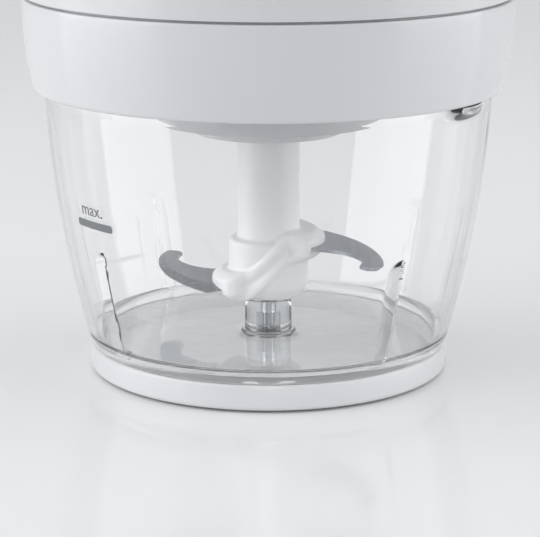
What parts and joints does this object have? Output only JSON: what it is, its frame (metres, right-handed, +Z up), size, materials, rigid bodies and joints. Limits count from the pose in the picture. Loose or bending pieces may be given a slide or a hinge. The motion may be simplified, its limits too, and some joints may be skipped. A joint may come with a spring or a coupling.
{
  "type": "food processor",
  "caption": "Small countertop food processor: a clear bowl on a base lid, a two-blade knife on a spindle, and a motor unit with a push button on top.",
  "frame": {"origin": "on the table under the middle of the base lid", "axes": "+Z up along the spindle, -Y towards the front, where the two blades show side by side, +X to the right"},
  "size_m": [0.147, 0.147, 0.24],
  "materials": {
    "white_gloss": "glossy moulded ABS",
    "clear_bowl": "clear moulded plastic",
    "grey_rubber": "soft silicone",
    "black_rubber": "matt",
    "mark_ink": "printed",
    "blade_steel": "ground",
    "pin_steel": "polished",
    "white_matte": "moulded acetal",
    "ivory_acetal": "moulded acetal",
    "sintered_bronze": "sintered",
    "zinc_steel": "zinc plated",
    "core_steel": "stamped laminations",
    "copper": "enamelled copper",
    "carbon": "graphite",
    "brass_parts": "stamped",
    "black_plastic": "moulded",
    "yellow_film": "moulded box",
    "light_grey": "satin moulded",
    "bezel_silver": "satin silver",
    "cast_bracket": "die cast"
  },
  "bodies": {
    "base": {"base_lid": "white_gloss", "non_slip_ring": "grey_rubber"},
    "bowl": {"bowl": "clear_bowl", "spindle_pin": "pin_steel", "level_mark": "mark_ink"},
    "knife": {"knife_hub": "white_matte", "upper_blade": "blade_steel", "lower_blade": "blade_steel", "hub_bush": "sintered_bronze"},
    "carrier": {"planet_carrier": "zinc_steel", "planet_pins": "pin_steel", "output_coupling": "pin_steel"},
    "planet_1": {"planet_gear_1": "ivory_acetal"},
    "planet_2": {"planet_gear_2": "ivory_acetal"},
    "planet_3": {"planet_gear_3": "ivory_acetal"},
    "rotor": {"sun_pinion": "pin_steel", "motor_shaft": "pin_steel", "armature_core": "core_steel", "armature_windings": "copper", "commutator": "copper", "cooling_fan": "black_plastic"},
    "button": {"push_button": "light_grey", "button_spring": "zinc_steel"},
    "plunger": {"switch_plunger": "black_plastic"},
    "motor_unit": {"lower_casing": "white_gloss", "underside_cover": "white_gloss", "bowl_gasket": "grey_rubber", "shaft_seal": "black_rubber", "gear_housing": "ivory_acetal", "coupling_bearing": "sintered_bronze", "ring_gear": "ivory_acetal", "gearbox_cover": "ivory_acetal", "lower_bracket": "cast_bracket", "lower_bearing": "sintered_bronze", "motor_mounts": "black_rubber", "motor_screws": "zinc_steel", "stator_core": "core_steel", "field_coils": "copper", "stator_screws": "zinc_steel", "upper_bracket": "cast_bracket", "upper_bearing": "sintered_bronze", "brush_holders": "brass_parts", "carbon_brushes": "carbon", "brush_springs": "zinc_steel", "upper_casing": "white_gloss", "casing_screws": "zinc_steel", "switch_plate": "black_plastic", "plate_screws": "zinc_steel", "switch_body": "black_plastic", "noise_capacitor": "yellow_film", "terminal_block": "ivory_acetal", "cord_gland": "white_matte", "cord_clamp": "black_plastic", "clamp_screws": "zinc_steel", "button_bezel": "bezel_silver"}
  },
  "joints": [
    {"name": "bowl_lift", "type": "slide", "parent": "base", "child": "bowl", "axis": [0, 0, 1], "range_m": [0, 0.03]},
    {"name": "unit_lift", "type": "slide", "parent": "bowl", "child": "motor_unit", "axis": [0, 0, 1], "range_m": [0, 0.14]},
    {"name": "rotor_spin", "type": "hinge", "parent": "motor_unit", "child": "rotor", "pos_m": [0, 0, 0.138], "axis": [0, 0, 1], "continuous": true},
    {"name": "carrier_spin", "type": "hinge", "parent": "motor_unit", "child": "carrier", "pos_m": [0, 0, 0.088], "axis": [0, 0, 1], "continuous": true},
    {"name": "planet_1_spin", "type": "hinge", "parent": "carrier", "child": "planet_1", "pos_m": [0.015, 0, 0.09], "axis": [0, 0, 1], "continuous": true},
    {"name": "planet_2_spin", "type": "hinge", "parent": "carrier", "child": "planet_2", "pos_m": [-0.0075, 0.01299, 0.09], "axis": [0, 0, 1], "continuous": true},
    {"name": "planet_3_spin", "type": "hinge", "parent": "carrier", "child": "planet_3", "pos_m": [-0.0075, -0.01299, 0.09], "axis": [0, 0, 1], "continuous": true},
    {"name": "knife_spin", "type": "hinge", "parent": "bowl", "child": "knife", "pos_m": [0, 0, 0.03], "axis": [0, 0, 1], "continuous": true},
    {"name": "button_press", "type": "slide", "parent": "motor_unit", "child": "button", "axis": [0, 0, 1], "range_m": [-0.004, 0], "stiffness_N_per_m": 500, "springref_m": 0.004, "deforming": ["button_spring"]},
    {"name": "plunger_press", "type": "slide", "parent": "motor_unit", "child": "plunger", "axis": [0, 0, 1], "range_m": [-0.004, 0]}
  ],
  "couplings": [
    {"joint": "carrier_spin", "follows": "rotor_spin", "ratio": 0.2},
    {"joint": "knife_spin", "follows": "rotor_spin", "ratio": 0.2},
    {"joint": "planet_1_spin", "follows": "rotor_spin", "ratio": -0.53333},
    {"joint": "planet_2_spin", "follows": "rotor_spin", "ratio": -0.53333},
    {"joint": "planet_3_spin", "follows": "rotor_spin", "ratio": -0.53333},
    {"joint": "plunger_press", "follows": "button_press", "ratio": 1}
  ]
}
